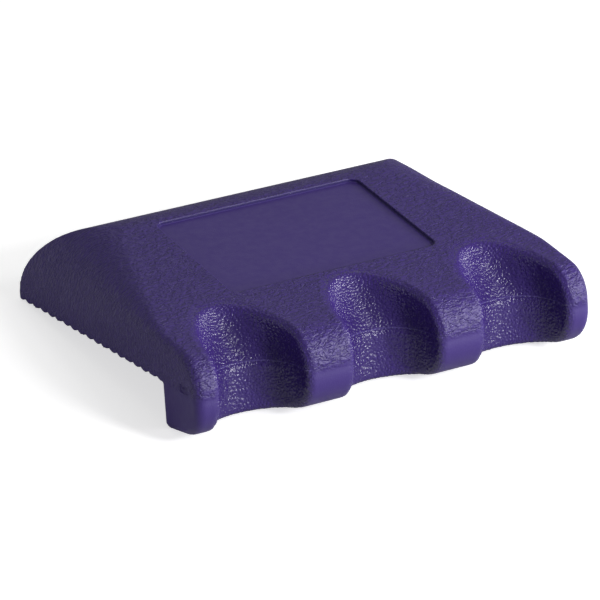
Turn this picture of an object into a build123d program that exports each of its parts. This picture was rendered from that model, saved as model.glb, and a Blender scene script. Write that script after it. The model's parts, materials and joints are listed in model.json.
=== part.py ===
"""Weighted portable holder for three billiard cues, hung on the edge of a table.

Frame: +Z up, origin at the middle of the inner corner where the table's edge sits.
The crests of the underside ribs lie on z = 0 (table top), the back of the lip on y = 0
(table edge). The weighted body reaches to +Y, the lip and its fingers hang towards -Y.
"""

import os
from math import acos, atan2, cos, degrees, hypot, radians, sin, tan

from build123d import *

# Overall sizes, mm
width_back = 139.0
width_front = 134.0
body_depth = 92.5
lip_thickness = 21.5
lip_drop = 15.0
lip_bottom_slope = 8.0
front_height = 14.4
base_band = 1.3
edge_round = 23.7

# Side shoulders: radius at the back and at the front, and the stretch over which it changes
shoulder_back = 23.0
shoulder_front = 3.0
blend_start = 4.0
blend_end = 65.0
shoulder_stations = 11

# Lip and fingers
front_top_round = 10.5
front_bottom_round = 12.5
lip_back_round = 1.0

# Cue rests
end_finger = 8.25
rest_count = 3
rest_width = 28.5
rest_web = 3.0
rest_top_taper = 1.5
rest_top_length = 25.0
rest_top_reach = 11.5
rest_top_margin = 4.0
rest_rim_round = 2.0
rim_wall_share = 0.8

# Panel on the top
panel_width = 70.0
panel_length = 51.0
panel_back = 64.3
panel_depth = 1.0
panel_corner = 3.0

# Ribs under the body and the base pad
rib_pitch = 5.0
rib_first = 1.5
rib_depth = 0.8
rib_land = 1.4
rib_arc = 5.0

# Ballast, its pocket and the pad that closes it
pad_side_wall = 13.0
pad_back_wall = 8.5
pad_front = 10.0
pad_thickness = 3.0
pad_corner = 6.0
pad_fit = 0.25
plate_side_ledge = 4.25
plate_front_ledge = 5.0
plate_back_ledge = 4.5
plate_thickness = 4.5
plate_count = 2
plate_corner = 4.0
plate_fit = 0.25
peg_diameter = 8.0
peg_spacing = 60.0
peg_fit = 0.25
peg_short = 0.5

# Moulding gate mark on the left end of the lip
gate_width = 5.0
gate_height = 2.8
gate_depth = 0.3
gate_corner = 0.6
gate_centre_y = -13.5
gate_centre_z = 1.8

# How far the cutting tools reach past the surfaces that they cut
cut_reach = 8.0
cut_overlap = 0.01

# Derived: the top falls straight from the back round to front_height above the table's edge
round_centre_y = body_depth - edge_round
front_rise = front_height - base_band
fall = atan2(round_centre_y, front_rise) - acos(edge_round / hypot(round_centre_y, front_rise))
top_slope = degrees(fall)
round_end_y = round_centre_y - edge_round * sin(radians(top_slope))
round_end_z = base_band + edge_round * cos(radians(top_slope))

# Derived: pad, plates and ribs follow the body
pad_width = width_front - 2 * pad_side_wall
pad_length = body_depth - pad_back_wall - pad_front
plate_width = pad_width - 2 * plate_side_ledge
plate_length = pad_length - plate_front_ledge - plate_back_ledge
plate_front = pad_front + plate_front_ledge
pocket_top = pad_thickness + plate_count * plate_thickness
rib_count = int((body_depth - rib_first) / rib_pitch) + 1
rib_crests = [rib_first + i * rib_pitch for i in range(rib_count)]

# Derived: cue rests, spread between the end fingers, with a rim round that their walls allow
rest_span = width_front - 2 * end_finger - rest_width
cue_pitch = rest_span / (rest_count - 1)
rest_centre_y = -rest_web - rest_width / 2
rest_top_centre_y = rest_top_reach - rest_top_length
rest_top_width = rest_width - 2 * rest_top_taper
rim_wall = min(lip_thickness + rest_centre_y, end_finger - shoulder_front)
rim_round = min(rest_rim_round, rim_wall_share * rim_wall)


def top_height(y):
    """Height of the sloping top above the rib crests at a distance y behind the lip."""
    return round_end_z - tan(radians(top_slope)) * (round_end_y - y)


def ridge_height(y):
    """Height of the body's crest at a distance y behind the lip, level over the back round."""
    return min(top_height(y), base_band + edge_round)


def lip_bottom(y):
    """Height of the lip's bottom, which rises towards the front, at a distance y."""
    return -lip_drop - y * tan(radians(lip_bottom_slope))


def half_width(y):
    """Half the width of the body at a distance y behind the lip."""
    taper = (width_back - width_front) / 2 / body_depth
    return width_front / 2 + taper * max(y, 0)


def shoulder_radius(y):
    """Radius of the side shoulder, growing evenly from the lip to the back."""
    t = min(max((y - blend_start) / (blend_end - blend_start), 0), 1)
    radius = shoulder_front + (shoulder_back - shoulder_front) * t
    return min(radius, ridge_height(y) - base_band)


def outside_corner(corner_plane, radius):
    """Section of the material outside a rounded corner that sits at the plane's origin."""
    centre = cut_overlap - radius
    with BuildSketch(corner_plane) as section:
        with BuildLine():
            arc = CenterArc((centre, centre), radius, 0, 90)
            outer = (cut_reach, cut_reach)
            Polyline(arc @ 1, (centre, cut_reach), outer, (cut_reach, centre), arc @ 0)
        make_face()
    return section.sketch


def rest_section(height, centre_y, opening, length):
    """Plan of one cue rest at one level: elliptic at the back, open to the front."""
    front = min(-lip_thickness, centre_y - length) - cut_reach
    with BuildSketch(Plane.XY.offset(height)) as section:
        with Locations((0, centre_y)):
            Ellipse(opening / 2, length)
            Rectangle(opening, centre_y - front, align=(Align.CENTER, Align.MAX))
    return section.sketch


def rounded_block(part_width, part_length, corner, front_y, bottom, height):
    """Rounded rectangular block centred on the width, front edge at front_y."""
    with BuildPart(mode=Mode.PRIVATE) as block:
        with BuildSketch(Plane.XY.offset(bottom)):
            with Locations((0, front_y + part_length / 2)):
                RectangleRounded(part_width, part_length, corner)
        extrude(amount=height)
    return block.part


def rib_valleys():
    """Bars that leave the rounded ribs when cut from an underside."""
    half = (rib_pitch - rib_land) / 2
    with BuildPart(mode=Mode.PRIVATE) as valleys:
        with BuildSketch(Plane.YZ):
            for crest in rib_crests[:-1]:
                middle = crest + rib_pitch / 2
                left = middle - half
                right = middle + half
                with BuildLine():
                    RadiusArc((left, 0), (middle, rib_depth), -rib_arc)
                    RadiusArc((middle, rib_depth), (right, 0), -rib_arc)
                    Polyline((right, 0), (right, -cut_reach), (left, -cut_reach), (left, 0))
                make_face()
        extrude(amount=width_back, both=True)
    return valleys.part


# Tools that shape the shoulders, the front edges and the cue rests
with BuildPart() as shoulder:
    for i in range(shoulder_stations):
        y = (body_depth + cut_reach) * (1 - i / (shoulder_stations - 1))
        tilt = top_slope if y < round_centre_y else 0
        forward = Vector(0, -1, 0).rotate(Axis.X, tilt)
        edge_point = (half_width(y), y, ridge_height(y))
        corner = Plane(origin=edge_point, x_dir=(1, 0, 0), z_dir=forward)
        add(outside_corner(corner, shoulder_radius(y)))
    loft()

with BuildPart() as front_edge:
    with BuildLine(Plane.YZ.offset(width_front / 2)) as nose:
        FilletPolyline(
            (0, top_height(0)),
            (-lip_thickness, top_height(-lip_thickness)),
            (-lip_thickness, lip_bottom(-lip_thickness)),
            (cut_reach, lip_bottom(cut_reach)),
            radius=(front_top_round, front_bottom_round),
        )
    corner = Plane(origin=nose.line @ 0, x_dir=(1, 0, 0), z_dir=nose.line % 0)
    add(outside_corner(corner, shoulder_front))
    sweep()

with BuildPart() as rest:
    rest_bottom = -lip_drop - cut_reach
    add(rest_section(rest_bottom, rest_centre_y, rest_width, rest_width / 2))
    extrude(amount=-rest_bottom)
    add(rest_section(0, rest_centre_y, rest_width, rest_width / 2))
    rest_top = top_height(0) + rest_top_margin
    add(rest_section(rest_top, rest_top_centre_y, rest_top_width, rest_top_length))
    loft()

# Body: side outline swept across the width, then trimmed in plan and along its edges
with BuildPart() as holder_body:
    with BuildSketch(Plane.YZ):
        with BuildLine():
            back = CenterArc((round_centre_y, base_band), edge_round, 0, 90 + top_slope)
            FilletPolyline(
                back @ 1,
                (-lip_thickness, top_height(-lip_thickness)),
                (-lip_thickness, lip_bottom(-lip_thickness)),
                (0, -lip_drop),
                (0, 0),
                radius=(front_top_round, front_bottom_round, lip_back_round),
            )
            Polyline((0, 0), (body_depth, 0), back @ 0)
        make_face()
    extrude(amount=width_back, both=True)

    with BuildSketch(Plane.XY.offset(-lip_drop)):
        with BuildLine():
            Polyline(
                (half_width(0), -lip_thickness),
                (half_width(0), 0),
                (half_width(body_depth), body_depth),
                (-half_width(body_depth), body_depth),
                (-half_width(0), 0),
                (-half_width(0), -lip_thickness),
                close=True,
            )
        make_face()
    extrude(amount=lip_drop + base_band + edge_round, mode=Mode.INTERSECT)

    for edge_tool in (shoulder.part, front_edge.part):
        add(edge_tool, mode=Mode.SUBTRACT)
        add(mirror(edge_tool, about=Plane.YZ, mode=Mode.PRIVATE), mode=Mode.SUBTRACT)
    with GridLocations(cue_pitch, 1, rest_count, 1):
        add(rest, mode=Mode.SUBTRACT)

    cut_edges = holder_body.edges(Select.LAST)
    creases = cut_edges.filter_by_position(Axis.Z, -cut_overlap, cut_overlap)
    upright = cut_edges.filter_by(Axis.Z)
    seams = upright.filter_by_position(
        Axis.Y, rest_centre_y - cut_overlap, rest_centre_y + cut_overlap
    )
    rims = [edge for edge in cut_edges if edge not in creases + seams]
    fillet(rims, rim_round)

    # Sunk label panel, left plain
    panel_plane = Plane(
        origin=(0, panel_back, top_height(panel_back)),
        x_dir=(1, 0, 0),
        z_dir=Vector(0, 0, 1).rotate(Axis.X, top_slope),
    )
    with BuildSketch(panel_plane):
        with Locations((0, -panel_length / 2)):
            RectangleRounded(panel_width, panel_length, panel_corner)
    extrude(amount=-panel_depth, mode=Mode.SUBTRACT)

    # Pocket for the base pad, then the deeper one for the ballast with its two pegs
    add(
        rounded_block(
            pad_width + 2 * pad_fit,
            pad_length + 2 * pad_fit,
            pad_corner,
            pad_front - pad_fit,
            -cut_reach,
            pad_thickness + cut_reach,
        ),
        mode=Mode.SUBTRACT,
    )
    add(
        rounded_block(
            plate_width + 2 * plate_fit,
            plate_length + 2 * plate_fit,
            plate_corner,
            plate_front - plate_fit,
            pad_thickness,
            pocket_top - pad_thickness,
        ),
        mode=Mode.SUBTRACT,
    )
    with BuildSketch(Plane.XY.offset(pocket_top)):
        with Locations((0, plate_front + plate_length / 2)):
            with GridLocations(peg_spacing, 1, 2, 1):
                Circle(peg_diameter / 2)
    extrude(amount=-(pocket_top - pad_thickness - peg_short))

    # Ribbed underside
    add(rib_valleys(), mode=Mode.SUBTRACT)

    # Gate mark on the left end of the lip
    with BuildSketch(Plane.YZ.offset(gate_depth - half_width(gate_centre_y))):
        with Locations((gate_centre_y, gate_centre_z)):
            RectangleRounded(gate_width, gate_height, gate_corner)
    extrude(amount=-cut_reach, mode=Mode.SUBTRACT)

# Ballast plates, stacked in the pocket over the pegs
ballast_plates = []
for level in range(plate_count):
    with BuildPart() as plate:
        add(
            rounded_block(
                plate_width,
                plate_length,
                plate_corner,
                plate_front,
                pad_thickness + level * plate_thickness,
                plate_thickness,
            )
        )
        with BuildSketch(Plane.XY.offset(pad_thickness + level * plate_thickness)):
            with Locations((0, plate_front + plate_length / 2)):
                with GridLocations(peg_spacing, 1, 2, 1):
                    Circle(peg_diameter / 2 + peg_fit)
        extrude(amount=plate_thickness, mode=Mode.SUBTRACT)
    ballast_plates.append(plate.part)

# Base pad, closing the pocket from below
with BuildPart() as base_pad:
    add(rounded_block(pad_width, pad_length, pad_corner, pad_front, 0, pad_thickness))
    add(rib_valleys(), mode=Mode.SUBTRACT)

# One file per piece
holder_body.part.label = "holder_body"
ballast_plates[0].label = "ballast_plate_lower"
ballast_plates[1].label = "ballast_plate_upper"
base_pad.part.label = "base_pad"

os.makedirs("parts", exist_ok=True)
export_step(holder_body.part, "parts/holder_body.step")
export_step(ballast_plates[0], "parts/ballast_plate_lower.step")
export_step(ballast_plates[1], "parts/ballast_plate_upper.step")
export_step(base_pad.part, "parts/base_pad.step")
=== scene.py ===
"""Looks of the weighted cue holder: moulded body, ballast plates, base pad and a plain stage."""

import json
import math

import bmesh
import bpy
import numpy as np
from mathutils import Matrix, Vector, noise


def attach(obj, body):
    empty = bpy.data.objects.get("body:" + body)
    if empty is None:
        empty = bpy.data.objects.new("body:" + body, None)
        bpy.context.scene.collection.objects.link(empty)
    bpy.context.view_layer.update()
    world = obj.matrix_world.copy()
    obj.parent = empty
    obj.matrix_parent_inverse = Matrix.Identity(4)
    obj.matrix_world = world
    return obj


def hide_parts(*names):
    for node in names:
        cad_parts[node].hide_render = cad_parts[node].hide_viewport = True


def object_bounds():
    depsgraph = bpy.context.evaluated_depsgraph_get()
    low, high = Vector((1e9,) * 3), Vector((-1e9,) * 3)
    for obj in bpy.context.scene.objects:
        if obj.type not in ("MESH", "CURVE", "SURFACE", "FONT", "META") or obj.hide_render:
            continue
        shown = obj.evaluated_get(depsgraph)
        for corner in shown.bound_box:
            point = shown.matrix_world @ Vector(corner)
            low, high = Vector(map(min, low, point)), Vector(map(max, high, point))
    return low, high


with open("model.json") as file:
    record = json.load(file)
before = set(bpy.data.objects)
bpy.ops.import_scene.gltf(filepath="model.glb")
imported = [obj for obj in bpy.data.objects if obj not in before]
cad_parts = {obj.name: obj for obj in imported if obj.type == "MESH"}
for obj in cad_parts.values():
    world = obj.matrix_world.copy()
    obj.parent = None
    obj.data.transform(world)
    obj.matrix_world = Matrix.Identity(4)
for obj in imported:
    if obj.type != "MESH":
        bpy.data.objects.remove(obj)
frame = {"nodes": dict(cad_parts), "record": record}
cad_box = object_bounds()
record = frame["record"]

MM = 0.001
PER_MM = 1000.0

# Body mesh. A pair of lengths is where a soft mask starts and where it is full.
VOXEL = 0.4 * MM
EDGE_ROUNDS = 3
EDGE_PUSH = 0.5
SKIN_ROUNDS = 40
SKIN_PUSH = 0.6
SKIN_RETURN = 0.62
SKIN_ABOVE = (2.0 * MM, 4.0 * MM)
SKIN_ON_LIP = (1.5 * MM, 3.0 * MM)
SKIN_OFF_PANEL = (0.8 * MM, 2.0 * MM)

# Cue rests: the wall stands upright to the parting line, then leans back to an ellipse
REST_TOP = 18.4 * MM
REST_TOP_WIDTH = 25.5 * MM
REST_TOP_LENGTH = 25.0 * MM
REST_TOP_CENTRE = -13.5 * MM
REST_MARGIN = 0.9 * MM
REST_MEAN_RADIUS = 14 * MM
REST_RIM_FADE = 0.13
REST_BACK = (10.5 * MM, 12.0 * MM)
PARTING_HEIGHT = 1.0 * MM

# Pebble of the rests and of the upper fronts of the fingers
PEBBLE_SIZE = 1.0 * MM
PEBBLE_HEIGHT = 0.2 * MM
PEBBLE_GROOVE = 0.6
PEBBLE_DRIFT_SIZE = 2.3
PEBBLE_DRIFT = 0.45
PEBBLE_LEAST = 0.01
PEBBLE_SEED = 4
PEBBLE_REFINED = 0.02
FINGER_SHARE = 0.3
FINGER_GLOSS = 0.15
FINGER_FRONT = (9.0 * MM, 14.0 * MM)
FINGER_TOP = (9.0 * MM, 14.0 * MM)
FINGER_FOOT = 1.0 * MM

# Thin line in the rests where the two halves of the mould met
FLASH_LEVEL = 1.2 * MM
FLASH_HALF_WIDTH = 0.14 * MM
FLASH_HEIGHT = 0.3 * MM
FLASH_LEAST_REST = 0.8
FLASH_FRONT = (-20.5 * MM, -18.0 * MM)

# Gate mark on the left end of the lip
GATE_Y = -13.5 * MM
GATE_Z = 1.8 * MM
GATE_WIDTH = 5.0 * MM
GATE_HEIGHT = 2.8 * MM
GATE_CORNER = 0.6 * MM
GATE_DEPTH = 0.4 * MM
GATE_MOST_X = -60.0 * MM
GATE_FAR = 1.0
GATE_REFINED = 1.2 * MM
GATE_REACH = 0.5 * MM
GATE_RING = (0.9 * MM, 2.2 * MM)
GATE_WALL = (-0.3 * MM, 0.0)
GATE_VESTIGE_OFFSET = 0.9 * MM
GATE_VESTIGE = (0.3 * MM, 0.65 * MM)

# Label panel, plain, sunk at right angles to the sloping top
TOP_AT_EDGE = 14.4 * MM
TOP_SLOPE = math.radians(9.0)
PANEL_LENGTH = 51.0 * MM
PANEL_BACK = 64.3 * MM / math.cos(TOP_SLOPE) + TOP_AT_EDGE * math.sin(TOP_SLOPE)
PANEL_HALF_WIDTH = 35.0 * MM
PANEL_DEPTH = 1.0 * MM
PANEL_CORNER = 3.0 * MM
PANEL_BORDER = 0.9 * MM
PANEL_CATCH = 0.14 * MM
PANEL_FLAT_REACH = 4.0 * MM
PANEL_FLAT_GAP = (0.05 * MM, 0.15 * MM)
PANEL_SHARP_ANGLE = math.radians(35)
PANEL_FOOT_SHARE = 0.6
PANEL_WALL_TOP = 0.12 * MM
PANEL_WALL_GAP = 0.02 * MM

# Leather grain: none in the panel and on the ribs, little in the rests
GRAIN_OFF_PANEL = (0.0, 0.4 * MM)
GRAIN_ABOVE = (-0.5 * MM, 2.0 * MM)
GRAIN_LOST_IN_REST = 0.8

# Colours
VINYL_DEEP = (0.040, 0.0195, 0.160, 1)
VINYL_LIGHT = (0.045, 0.0215, 0.176, 1)
# Painted shade for the pebble grooves and the creases of the leather grain
VINYL_GROOVE_SHADE = (0.016, 0.008, 0.07, 1)
# Painted shade on the wall of the label panel
PANEL_WALL_SHADE = (0.012, 0.002, 0.085, 1)
# Painted highlight for the raised parting line in the rests
FLASH_HIGHLIGHT = (0.13, 0.095, 0.36, 1)
PAD_DEEP = (0.028, 0.019, 0.105, 1)
PAD_LIGHT = (0.038, 0.026, 0.13, 1)
PAD_SCUFF = (0.09, 0.075, 0.2, 1)
STEEL_DARK = (0.10, 0.10, 0.105, 1)
STEEL_LIGHT = (0.22, 0.215, 0.21, 1)

# Stage
FLOOR_RADIUS = 0.6
FLOOR_SIDES = 96
FLOOR_GAP = 0.0001
FLOOR_GREY = 0.8
FLOOR_GLOW = 0.62
WORLD_LIGHT = 0.19
WORLD_SEEN = 1.0

# Lamps: name, azimuth and elevation as for the camera in degrees, size in metres, watts
LAMP_DISTANCE = 0.75
LAMPS = (
    ("key", 28, 1, 0.09, 2.0),
    ("right", 50, 14, 0.12, 1.3),
    ("front", 16, 20, 0.14, 2.7),
    ("high", 18, 40, 0.16, 0.5),
    ("side", 75, 13, 0.2, 1.9),
    ("left", -95, 8, 0.4, 0.75),
    ("top", 0, 85, 0.5, 0.25),
    ("back", 150, 40, 0.5, 0.25),
    ("behind", -155, 8, 0.5, 0.3),
)

# Camera: a long lens from the front left, looking down, over a table that tilts under the holder
CAMERA_TURN = math.radians(28.818)
CAMERA_DOWN = math.radians(26.166)
CAMERA_TILT = math.radians(7.221)
CAMERA_DISTANCE = 1.35
CAMERA_LEFT = 0.01867
CAMERA_UP = 0.0098
CAMERA_SENSOR = 36.0
CAMERA_LENS = 271.7
CAMERA_CLIP = (0.05, 20.0)


def smoothstep(value, low, high):
    """0 below low, 1 above high, smooth between; works on arrays."""
    t = np.clip((value - low) / (high - low), 0.0, 1.0)
    return t * t * (3.0 - 2.0 * t)


# Mesh tools -----------------------------------------------------------------------------------


def remeshed(source, name, voxel):
    """A new object with an even mesh over the source's shape."""
    piece = bpy.data.objects.new(name, source.data.copy())
    bpy.context.scene.collection.objects.link(piece)
    remesh = piece.modifiers.new("Remesh", "REMESH")
    remesh.mode = "VOXEL"
    remesh.voxel_size = voxel
    graph = bpy.context.evaluated_depsgraph_get()
    mesh = bpy.data.meshes.new_from_object(piece.evaluated_get(graph))
    mesh.name = name
    piece.modifiers.clear()
    piece.data = mesh
    return piece


def vertex_places(mesh):
    places = np.empty(len(mesh.vertices) * 3, np.float32)
    mesh.vertices.foreach_get("co", places)
    return places.reshape(-1, 3).astype(np.float64)


def vertex_normals(mesh):
    normals = np.empty(len(mesh.vertices) * 3, np.float32)
    mesh.vertex_normals.foreach_get("vector", normals)
    return normals.reshape(-1, 3).astype(np.float64)


def edge_ends(mesh):
    ends = np.empty(len(mesh.edges) * 2, np.int32)
    mesh.edges.foreach_get("vertices", ends)
    return ends.reshape(-1, 2)


def set_places(mesh, places):
    mesh.vertices.foreach_set("co", places.astype(np.float32).ravel())
    mesh.update()


def store(mesh, name, values):
    """Keeps one number per vertex on the mesh, for the material to read."""
    layer = mesh.attributes.new(name, "FLOAT", "POINT")
    layer.data.foreach_set("value", values.astype(np.float32))


def refine(mesh, wanted):
    """Divides the edges whose two ends are wanted, so that the mesh can carry fine shape."""
    grid = bmesh.new()
    grid.from_mesh(mesh)
    grid.verts.ensure_lookup_table()
    edges = [e for e in grid.edges if wanted[e.verts[0].index] and wanted[e.verts[1].index]]
    bmesh.ops.subdivide_edges(grid, edges=edges, cuts=1, use_grid_fill=True, smooth=0)
    grid.to_mesh(mesh)
    grid.free()


def neighbour_pull(places, ends, count):
    """Vector from each vertex to the mean of its neighbours."""
    first, second = ends[:, 0], ends[:, 1]
    total = np.empty_like(places)
    for axis in range(3):
        total[:, axis] = np.bincount(first, places[second, axis], count)
        total[:, axis] += np.bincount(second, places[first, axis], count)
    degree = np.bincount(first, minlength=count) + np.bincount(second, minlength=count)
    return total / np.maximum(degree, 1)[:, None] - places


# Outer skin -----------------------------------------------------------------------------------


def skin_mask(places):
    """1 on the outer skin away from its crisp edges, 0 at them and inside."""
    _, y, z = places.T
    above = smoothstep(z, *SKIN_ABOVE)
    lip = smoothstep(-y, *SKIN_ON_LIP)
    off_panel = smoothstep(panel_outline(places), *SKIN_OFF_PANEL)
    return np.maximum(above * off_panel, lip)


def smooth_skin(mesh):
    """Takes the grid ripple off every face, and the facets off the outer skin."""
    count = len(mesh.vertices)
    ends = edge_ends(mesh)
    places = vertex_places(mesh)
    for _ in range(EDGE_ROUNDS):
        places += EDGE_PUSH * neighbour_pull(places, ends, count)
        places -= EDGE_PUSH * neighbour_pull(places, ends, count)
    skin = skin_mask(places)[:, None]
    for _ in range(SKIN_ROUNDS):
        places += SKIN_PUSH * skin * neighbour_pull(places, ends, count)
        places -= SKIN_RETURN * skin * neighbour_pull(places, ends, count)
    set_places(mesh, places)


# Gate mark ------------------------------------------------------------------------------------


def gate_outline(places):
    """Distance from the outline of the gate mark, seen from the left end."""
    x, y, z = places.T
    across = np.abs(y - GATE_Y) - (GATE_WIDTH / 2 - GATE_CORNER)
    up = np.abs(z - GATE_Z) - (GATE_HEIGHT / 2 - GATE_CORNER)
    outside = np.hypot(np.maximum(across, 0), np.maximum(up, 0))
    inside = np.minimum(np.maximum(across, up), 0)
    return np.where(x < GATE_MOST_X, outside + inside - GATE_CORNER, GATE_FAR)


def cut_gate(mesh):
    """Sinks the gate mark again after the smoothing, with its small off-centre vestige."""
    for _ in range(2):
        refine(mesh, gate_outline(vertex_places(mesh)) < GATE_REFINED)
    places = vertex_places(mesh)
    _, y, z = places.T
    outline = gate_outline(places)
    ring = (outline > GATE_RING[0]) & (outline < GATE_RING[1])
    plan = np.stack((np.ones(len(places)), y, z), axis=1)
    wall = plan @ np.linalg.lstsq(plan[ring], places[ring, 0], rcond=None)[0]
    sunk = 1.0 - smoothstep(outline, *GATE_WALL)
    from_vestige = np.hypot(y - GATE_Y - GATE_VESTIGE_OFFSET, z - GATE_Z)
    vestige = 1.0 - smoothstep(from_vestige, *GATE_VESTIGE)
    depth = GATE_DEPTH * (sunk - vestige)
    inside = outline < GATE_REACH
    places[inside, 0] = (wall + depth)[inside]
    set_places(mesh, places)


# Label panel ----------------------------------------------------------------------------------


def along_top(places):
    """Distance back along the sloping top."""
    return places[:, 1] * math.cos(TOP_SLOPE) + places[:, 2] * math.sin(TOP_SLOPE)


def over_top(places):
    """Height over the sloping plane of the top."""
    rise = (places[:, 2] - TOP_AT_EDGE) * math.cos(TOP_SLOPE)
    return rise - places[:, 1] * math.sin(TOP_SLOPE)


def panel_corner(places):
    """How far each place lies past the square part of the panel, across and along it."""
    half_length = PANEL_LENGTH / 2
    past_side = np.abs(places[:, 0]) - (PANEL_HALF_WIDTH - PANEL_CORNER)
    past_end = np.abs(along_top(places) - PANEL_BACK + half_length)
    return past_side, past_end - (half_length - PANEL_CORNER)


def panel_outline(places):
    """Distance from the panel's outline, positive outside it."""
    past_side, past_end = panel_corner(places)
    outside = np.hypot(np.maximum(past_side, 0), np.maximum(past_end, 0))
    inside = np.minimum(np.maximum(past_side, past_end), 0)
    return outside + inside - PANEL_CORNER


def panel_outward(places):
    """Unit vectors that lead straight away from the panel's outline, along the top."""
    past_side, past_end = panel_corner(places)
    at_corner = (past_side > 0) & (past_end > 0)
    across = np.where(at_corner, past_side, (past_side >= past_end) * 1.0)
    along = np.where(at_corner, past_end, (past_side < past_end) * 1.0)
    length = np.hypot(across, along)
    across = across / length * np.sign(places[:, 0])
    along = along / length * np.sign(along_top(places) - (PANEL_BACK - PANEL_LENGTH / 2))
    return np.stack((across, along * math.cos(TOP_SLOPE), along * math.sin(TOP_SLOPE)), axis=1)


def near_panel_wall(places):
    near = np.abs(panel_outline(places)) < PANEL_BORDER
    height = over_top(places)
    return near & (height > -PANEL_DEPTH - PANEL_BORDER) & (height < PANEL_BORDER)


def panel_goal(outline, height):
    """Nearest place on the panel's crisp step, as distance from its outline and height."""
    low = height + PANEL_DEPTH
    between = np.maximum(np.maximum(height, -low), 0)
    top_gap = np.where(outline > 0, np.abs(height), np.hypot(outline, height))
    wall_gap = np.hypot(outline, between)
    floor_gap = np.where(outline < 0, np.abs(low), np.hypot(outline, low))
    nearest = np.argmin(np.stack((top_gap, wall_gap, floor_gap)), axis=0)
    on_top, on_wall = nearest == 0, nearest == 1

    goal_out = np.where(on_top, np.maximum(outline, 0), np.minimum(outline, 0))
    goal_out = np.where(on_wall | (np.abs(goal_out) < PANEL_CATCH), 0.0, goal_out)

    up_wall = np.clip(height, -PANEL_DEPTH, 0)
    up_wall = np.where(up_wall > -PANEL_CATCH, 0.0, up_wall)
    up_wall = np.where(up_wall < PANEL_CATCH - PANEL_DEPTH, -PANEL_DEPTH, up_wall)
    goal_height = np.where(on_top, 0.0, -PANEL_DEPTH)
    return goal_out, np.where(on_wall, up_wall, goal_height)


def sharpen_panel(mesh):
    """Makes the wall of the panel upright with crisp edges, and the faces beside it flat."""
    refine(mesh, near_panel_wall(vertex_places(mesh)))
    places = vertex_places(mesh)
    outline = panel_outline(places)
    height = over_top(places)
    goal_out, goal_height = panel_goal(outline, height)
    at_wall = near_panel_wall(places)
    beside = (outline < PANEL_FLAT_REACH) & ~at_wall
    flat = 1.0 - smoothstep(np.abs(height - goal_height), *PANEL_FLAT_GAP)
    share = np.where(at_wall, 1.0, np.where(beside, flat, 0.0))
    out_move = np.where(at_wall, goal_out - outline, 0.0)
    up_move = share * (goal_height - height)
    up = np.array((0.0, -math.sin(TOP_SLOPE), math.cos(TOP_SLOPE)))
    places += out_move[:, None] * panel_outward(places) + up_move[:, None] * up
    set_places(mesh, places)


def crease_panel_foot(mesh):
    """Keeps the inner corner at the foot of the panel's wall sharp in the shading."""
    mesh.set_sharp_from_angle(angle=PANEL_SHARP_ANGLE)
    layer = mesh.attributes["sharp_edge"]
    sharp = np.zeros(len(mesh.edges), bool)
    layer.data.foreach_get("value", sharp)
    ends = edge_ends(mesh)
    places = vertex_places(mesh)
    middles = (places[ends[:, 0]] + places[ends[:, 1]]) / 2
    low = over_top(middles) < -PANEL_FOOT_SHARE * PANEL_DEPTH
    layer.data.foreach_set("value", sharp & near_panel_wall(middles) & low)


def panel_wall_shade_mask(places):
    """True on the wall of the panel, below its upper edge, where the material paints shade."""
    on_outline = np.abs(panel_outline(places)) < PANEL_WALL_GAP
    return on_outline & near_panel_wall(places) & (over_top(places) < -PANEL_WALL_TOP)


# Cue rests and fingers ------------------------------------------------------------------------


def rest_field(places):
    """Below 1 inside a cue rest, 1 on its wall, above 1 outside."""
    x, y, z = places.T
    lean = np.clip(z / REST_TOP, 0.0, 1.0)
    nearest = np.full(len(places), np.inf)
    for mount in record["mounts"]:
        if not mount["name"].startswith("cue_rest"):
            continue
        across, centre, _ = mount["pos_m"]
        radius = mount["dims"]["r_mm"] * MM
        half = radius + (REST_TOP_WIDTH / 2 - radius) * lean
        length = radius + (REST_TOP_LENGTH - radius) * lean
        middle = centre + (REST_TOP_CENTRE - centre) * lean
        deep = np.maximum(y - middle, 0.0) / length
        wide = (x - across) / half
        nearest = np.minimum(nearest, np.hypot(wide, deep))
    return nearest


def rest_mask(places):
    """1 on the walls of the cue rests, fading out over their rounded rims."""
    reach = 1.0 + REST_MARGIN / REST_MEAN_RADIUS
    near = 1.0 - smoothstep(rest_field(places), reach, reach + REST_RIM_FADE)
    return near * (1.0 - smoothstep(places[:, 1], *REST_BACK))


def finger_mask(places):
    """1 on the upper fronts of the fingers, where the pebble fades into the leather grain."""
    _, y, z = places.T
    front = smoothstep(-y, *FINGER_FRONT)
    low = smoothstep(z, PARTING_HEIGHT - FINGER_FOOT, PARTING_HEIGHT + FINGER_FOOT)
    return front * low * (1.0 - smoothstep(z, *FINGER_TOP))


def pebble_depth(places):
    """Share of the full pebble height at each place."""
    return np.maximum(rest_mask(places), FINGER_SHARE * finger_mask(places))


def pebble(point, size):
    """Rounded blob between narrow grooves: 1 on its crown, 0 in the groove."""
    drift = noise.noise_vector(point / (size * PEBBLE_DRIFT_SIZE)) * PEBBLE_DRIFT
    near, _ = noise.voronoi(point / size + drift)
    edge = min((near[1] - near[0]) / PEBBLE_GROOVE, 1.0)
    return 1.0 - (1.0 - edge) ** 2


def add_pebble(mesh, mask):
    """Sinks the grooves between the pebbles; gives back 0 on a crown and -1 in a groove."""
    places = vertex_places(mesh)
    normals = vertex_normals(mesh)
    heights = np.zeros(len(places))
    noise.seed_set(PEBBLE_SEED)
    for i in np.nonzero(mask > PEBBLE_LEAST)[0]:
        heights[i] = pebble(Vector(places[i]), PEBBLE_SIZE) - 1.0
    places += normals * (heights * mask * PEBBLE_HEIGHT)[:, None]
    set_places(mesh, places)
    return heights


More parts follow.
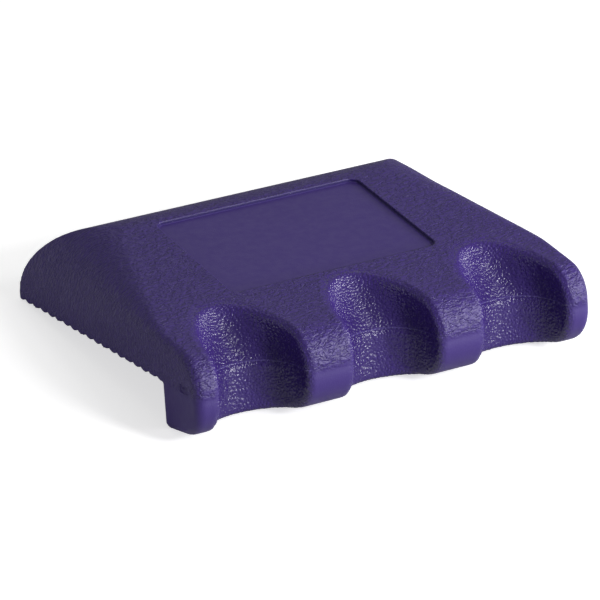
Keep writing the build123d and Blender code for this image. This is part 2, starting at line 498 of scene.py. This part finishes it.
def add_flash(mesh, rest):
    """Raises the parting line in the rests; gives back where it is."""
    places = vertex_places(mesh)
    normals = vertex_normals(mesh)
    at_level = np.abs(places[:, 2] - FLASH_LEVEL) < FLASH_HALF_WIDTH
    line = at_level & (rest > FLASH_LEAST_REST)
    places[line, 2] = FLASH_LEVEL
    sideways = normals[line] * (1.0, 1.0, 0.0)
    behind_front = smoothstep(places[line, 1], *FLASH_FRONT)
    places[line] += FLASH_HEIGHT * behind_front[:, None] * sideways
    set_places(mesh, places)
    return line


# Moulded body ---------------------------------------------------------------------------------


def make_body():
    body = remeshed(frame["nodes"]["holder_body"], "moulded_body", VOXEL)
    mesh = body.data
    smooth_skin(mesh)
    sharpen_panel(mesh)
    cut_gate(mesh)
    refine(mesh, pebble_depth(vertex_places(mesh)) > PEBBLE_REFINED)

    places = vertex_places(mesh)
    rest = rest_mask(places)
    depth = pebble_depth(places)
    heights = add_pebble(mesh, depth)
    # Marks the parting line for a painted highlight in the material
    store(mesh, "flash", add_flash(mesh, rest))

    places = vertex_places(mesh)
    off_panel = smoothstep(panel_outline(places), *GRAIN_OFF_PANEL)
    above = smoothstep(places[:, 2], *GRAIN_ABOVE)
    store(mesh, "gloss", np.maximum(rest, FINGER_GLOSS * finger_mask(places)))
    # Marks the panel's wall for painted shade in the material
    store(mesh, "panel_wall", panel_wall_shade_mask(places))
    # Pebble height, which the material also uses for painted shade in the grooves
    store(mesh, "pebble", 1.0 + heights * np.minimum(depth * 2.0, 1.0))
    store(mesh, "grain", off_panel * above * (1.0 - GRAIN_LOST_IN_REST * rest))

    mesh.polygons.foreach_set("use_smooth", np.ones(len(mesh.polygons), bool))
    crease_panel_foot(mesh)
    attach(body, "root")
    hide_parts("holder_body")
    return body


# Materials ------------------------------------------------------------------------------------


class Nodes:
    """Small helper that adds nodes and links to one material."""

    def __init__(self, name):
        self.material = bpy.data.materials.new(name)
        self.material.use_nodes = True
        self.tree = self.material.node_tree
        self.tree.nodes.clear()
        self.output = self.add("ShaderNodeOutputMaterial")

    def add(self, kind, **settings):
        node = self.tree.nodes.new(kind)
        for key, value in settings.items():
            setattr(node, key, value)
        return node

    def link(self, source, target):
        self.tree.links.new(source, target)

    def put(self, node, socket, value):
        if isinstance(value, bpy.types.NodeSocket):
            self.link(value, node.inputs[socket])
        else:
            node.inputs[socket].default_value = value

    def math(self, operation, *values, clamp=False):
        node = self.add("ShaderNodeMath", operation=operation, use_clamp=clamp)
        for i, value in enumerate(values):
            self.put(node, i, value)
        return node.outputs[0]

    def inverse(self, value):
        return self.math("SUBTRACT", 1.0, value)

    def remap(self, value, low, high, to_low=0.0, to_high=1.0):
        node = self.add("ShaderNodeMapRange", interpolation_type="SMOOTHSTEP")
        for i, v in enumerate((value, low, high, to_low, to_high)):
            self.put(node, i, v)
        return node.outputs[0]

    def mix(self, factor, first, second):
        node = self.add("ShaderNodeMix", data_type="RGBA")
        self.put(node, 0, factor)
        self.put(node, 6, first)
        self.put(node, 7, second)
        return node.outputs[2]

    def attribute(self, name):
        return self.add("ShaderNodeAttribute", attribute_name=name).outputs["Fac"]

    def object_place(self, scale=(PER_MM, PER_MM, PER_MM)):
        """Place in the object's own frame, in millimetres unless scaled otherwise."""
        place = self.add("ShaderNodeTexCoord").outputs["Object"]
        mapping = self.add("ShaderNodeMapping")
        self.link(place, mapping.inputs["Vector"])
        mapping.inputs["Scale"].default_value = scale
        return mapping.outputs[0]

    def noise(self, place, scale, detail, roughness, output="Fac"):
        node = self.add("ShaderNodeTexNoise")
        self.put(node, "Vector", place)
        self.put(node, "Scale", scale)
        self.put(node, "Detail", detail)
        self.put(node, "Roughness", roughness)
        return node.outputs[output]

    def warped(self, place, scale, amount):
        """Place moved by a soft noise, so that a pattern looks grown, not cut."""
        colour = self.noise(place, scale, detail=1.0, roughness=0.5, output="Color")
        centred = self.add("ShaderNodeVectorMath", operation="SUBTRACT")
        self.link(colour, centred.inputs[0])
        centred.inputs[1].default_value = (0.5, 0.5, 0.5)
        scaled = self.add("ShaderNodeVectorMath", operation="SCALE")
        self.link(centred.outputs[0], scaled.inputs[0])
        scaled.inputs["Scale"].default_value = amount
        total = self.add("ShaderNodeVectorMath", operation="ADD")
        self.link(place, total.inputs[0])
        self.link(scaled.outputs[0], total.inputs[1])
        return total.outputs[0]

    def bump(self, height, strength, distance):
        node = self.add("ShaderNodeBump")
        self.put(node, "Height", height)
        self.put(node, "Strength", strength)
        self.put(node, "Distance", distance)
        return node.outputs[0]

    def surface(self, **sockets):
        shader = self.add("ShaderNodeBsdfPrincipled")
        for name, value in sockets.items():
            self.put(shader, name.replace("_", " "), value)
        self.link(shader.outputs[0], self.output.inputs["Surface"])
        return self.material


def moulded_vinyl():
    """Soft purple vinyl: leather grain on the skin, glossy pebble in the rests, plain panel;
    painted shade in the grooves, the creases and on the panel wall, and a painted highlight on
    the parting line.
    """
    n = Nodes("moulded_vinyl")
    place = n.object_place()
    grain = n.attribute("grain")

    # Leather grain: soft wrinkles and thin creases, longer across the holder
    stretched = n.warped(n.object_place((0.56 * PER_MM, PER_MM, PER_MM)), scale=0.7, amount=0.7)
    wrinkle = n.noise(stretched, scale=0.85, detail=1.5, roughness=0.5)
    folds = n.noise(stretched, scale=0.55, detail=2.0, roughness=0.6)
    crease = n.remap(n.math("ABSOLUTE", n.math("SUBTRACT", folds, 0.5)), 0.0, 0.10)
    leather = n.math("MULTIPLY_ADD", crease, 0.3, wrinkle)
    leather = n.math("MULTIPLY", leather, grain)
    skin = n.noise(place, scale=2.6, detail=2.0, roughness=0.5)
    height = n.math("MULTIPLY_ADD", skin, 0.10, leather)

    # Colour: broad patches; painted shade in the pebble grooves, the grain's creases and on the
    # panel wall; a painted highlight on the parting line
    broad = n.noise(place, scale=0.035, detail=2.0, roughness=0.5)
    # Painted shade in the pebble grooves
    groove = n.math("MULTIPLY", n.inverse(n.attribute("pebble")), 0.2)
    # Painted shade along the creases of the leather grain
    crease_shade = n.math("MULTIPLY", n.math("MULTIPLY", n.inverse(crease), 0.32), grain)
    shade = n.math("ADD", groove, crease_shade, clamp=True)
    colour = n.mix(shade, n.mix(broad, VINYL_DEEP, VINYL_LIGHT), VINYL_GROOVE_SHADE)
    # Painted shade on the wall of the label panel
    colour = n.mix(n.attribute("panel_wall"), colour, PANEL_WALL_SHADE)
    # Painted highlight along the parting line
    colour = n.mix(n.math("MULTIPLY", n.attribute("flash"), 0.8), colour, FLASH_HIGHLIGHT)

    # Gloss: matt skin, glossier rests, both a little uneven
    patch = n.noise(place, scale=0.35, detail=2.0, roughness=0.5)
    matt = n.remap(patch, 0.25, 0.75, 0.47, 0.55)
    gloss = n.remap(patch, 0.25, 0.75, 0.23, 0.30)
    rough = n.math("MULTIPLY_ADD", n.math("SUBTRACT", gloss, matt), n.attribute("gloss"), matt)
    return n.surface(
        Base_Color=colour,
        Roughness=rough,
        Normal=n.bump(height, strength=1.0, distance=0.5 * MM),
        IOR=1.5,
        Specular_IOR_Level=0.5,
    )


def base_vinyl():
    """Matt ribbed vinyl of the base pad, slightly scuffed on the rib crests."""
    n = Nodes("base_vinyl")
    place = n.object_place()
    fine = n.noise(place, scale=3.0, detail=3.0, roughness=0.6)
    broad = n.noise(place, scale=0.06, detail=3.0, roughness=0.6)
    marks = n.noise(place, scale=0.8, detail=3.0, roughness=0.7)
    height = n.add("ShaderNodeSeparateXYZ")
    n.link(place, height.inputs[0])
    crest = n.remap(height.outputs["Z"], 0.25, 0.02)
    scuff = n.math("MULTIPLY", crest, n.remap(marks, 0.45, 0.7))
    base = n.mix(broad, PAD_DEEP, PAD_LIGHT)
    return n.surface(
        Base_Color=n.mix(n.math("MULTIPLY", scuff, 0.35), base, PAD_SCUFF),
        Roughness=n.math("MULTIPLY_ADD", fine, 0.12, 0.52),
        Normal=n.bump(fine, strength=0.4, distance=0.06 * MM),
        IOR=1.5,
    )


def ballast_steel():
    """Plain hot-rolled steel with grey scale and faint rolling lines."""
    n = Nodes("ballast_steel")
    rolled = n.object_place((0.04 * PER_MM, 1.4 * PER_MM, 0.4 * PER_MM))
    lines = n.noise(rolled, scale=1.0, detail=3.0, roughness=0.6)
    patches = n.noise(n.object_place(), scale=0.12, detail=4.0, roughness=0.6)
    return n.surface(
        Base_Color=n.mix(n.remap(patches, 0.35, 0.65), STEEL_DARK, STEEL_LIGHT),
        Metallic=1.0,
        Roughness=n.math("MULTIPLY_ADD", lines, 0.25, 0.32),
        Normal=n.bump(lines, strength=0.3, distance=0.05 * MM),
    )


def dress(piece, material):
    piece.data.materials.clear()
    piece.data.materials.append(material)


def dress_node(name, material):
    for held in frame["nodes"][name].material_slots:
        held.material = material


# Stage, camera and light ----------------------------------------------------------------------


def stage_white():
    """White to the camera, with the shadow kept; see-through from below."""
    n = Nodes("stage_white")
    diffuse = n.add("ShaderNodeBsdfDiffuse")
    diffuse.inputs["Color"].default_value = (FLOOR_GREY, FLOOR_GREY, FLOOR_GREY, 1)
    glow = n.add("ShaderNodeEmission")
    seen = n.add("ShaderNodeLightPath").outputs["Is Camera Ray"]
    n.link(n.math("MULTIPLY", seen, FLOOR_GLOW), glow.inputs["Strength"])
    both = n.add("ShaderNodeAddShader")
    n.link(diffuse.outputs[0], both.inputs[0])
    n.link(glow.outputs[0], both.inputs[1])
    clear = n.add("ShaderNodeBsdfTransparent")
    side = n.add("ShaderNodeMixShader")
    n.link(n.add("ShaderNodeNewGeometry").outputs["Backfacing"], side.inputs[0])
    n.link(both.outputs[0], side.inputs[1])
    n.link(clear.outputs[0], side.inputs[2])
    n.link(side.outputs[0], n.output.inputs["Surface"])
    return n.material


def stage_tilt():
    """Angle of the table under the holder, which rests on its lip and its back edge."""
    low, high = cad_box
    return math.atan2(-low.z, high.y)


def make_floor():
    low, high = cad_box
    mesh = bpy.data.meshes.new("floor")
    grid = bmesh.new()
    bmesh.ops.create_circle(grid, cap_ends=True, segments=FLOOR_SIDES, radius=FLOOR_RADIUS)
    grid.to_mesh(mesh)
    grid.free()
    floor = bpy.data.objects.new("floor", mesh)
    bpy.context.scene.collection.objects.link(floor)
    floor.rotation_euler = (stage_tilt(), 0, 0)
    floor.location = (0, high.y / 2, low.z / 2 - FLOOR_GAP)
    mesh.materials.append(stage_white())
    floor.visible_diffuse = False


def make_world():
    """Soft even light, white where the camera sees past the floor."""
    world = bpy.data.worlds.new("studio")
    bpy.context.scene.world = world
    world.use_nodes = True
    tree = world.node_tree
    tree.nodes.clear()
    out = tree.nodes.new("ShaderNodeOutputWorld")
    back = tree.nodes.new("ShaderNodeBackground")
    back.inputs["Color"].default_value = (1, 1, 1, 1)
    path = tree.nodes.new("ShaderNodeLightPath")
    strength = tree.nodes.new("ShaderNodeMix")
    strength.inputs[2].default_value = WORLD_LIGHT
    strength.inputs[3].default_value = WORLD_SEEN
    tree.links.new(path.outputs["Is Camera Ray"], strength.inputs[0])
    tree.links.new(strength.outputs[0], back.inputs["Strength"])
    tree.links.new(back.outputs[0], out.inputs["Surface"])


def make_lamp(name, azimuth, elevation, size, watts):
    """Soft round lamp aimed at the middle of the holder."""
    lamp = bpy.data.lights.new(name, "AREA")
    lamp.shape = "DISK"
    lamp.size = size
    lamp.energy = watts
    piece = bpy.data.objects.new(name, lamp)
    bpy.context.scene.collection.objects.link(piece)
    a, e = math.radians(azimuth), math.radians(elevation)
    back = Vector((math.sin(a) * math.cos(e), -math.cos(a) * math.cos(e), math.sin(e)))
    aim = (cad_box[0] + cad_box[1]) / 2
    piece.location = aim + back * LAMP_DISTANCE
    piece.rotation_mode = "QUATERNION"
    piece.rotation_quaternion = back.to_track_quat("Z", "Y")


def make_camera():
    sin_turn, cos_turn = math.sin(CAMERA_TURN), math.cos(CAMERA_TURN)
    sin_down, cos_down = math.sin(CAMERA_DOWN), math.cos(CAMERA_DOWN)
    right = Vector((cos_turn, -sin_turn, 0))
    forward = Vector((sin_turn * cos_down, cos_turn * cos_down, -sin_down))
    up = right.cross(forward)
    level = Matrix.Rotation(CAMERA_TILT, 3, "X")
    right, forward, up = level @ right, level @ forward, level @ up
    camera = bpy.data.objects.new("camera", bpy.data.cameras.new("camera"))
    bpy.context.scene.collection.objects.link(camera)
    camera.data.sensor_width = CAMERA_SENSOR
    camera.data.lens = CAMERA_LENS
    camera.data.clip_start, camera.data.clip_end = CAMERA_CLIP
    place = -(right * CAMERA_LEFT - up * CAMERA_UP + forward * CAMERA_DISTANCE)
    turned = Matrix((right, up, -forward)).transposed().to_4x4()
    camera.matrix_world = Matrix.Translation(place) @ turned
    bpy.context.scene.camera = camera


# Put together ---------------------------------------------------------------------------------

body = make_body()
dress(body, moulded_vinyl())
dress_node("base_pad", base_vinyl())
steel = ballast_steel()
dress_node("ballast_plate_lower", steel)
dress_node("ballast_plate_upper", steel)

make_floor()
make_world()
for lamp_row in LAMPS:
    make_lamp(*lamp_row)
make_camera()

scene = bpy.context.scene
scene.view_settings.view_transform = "Standard"
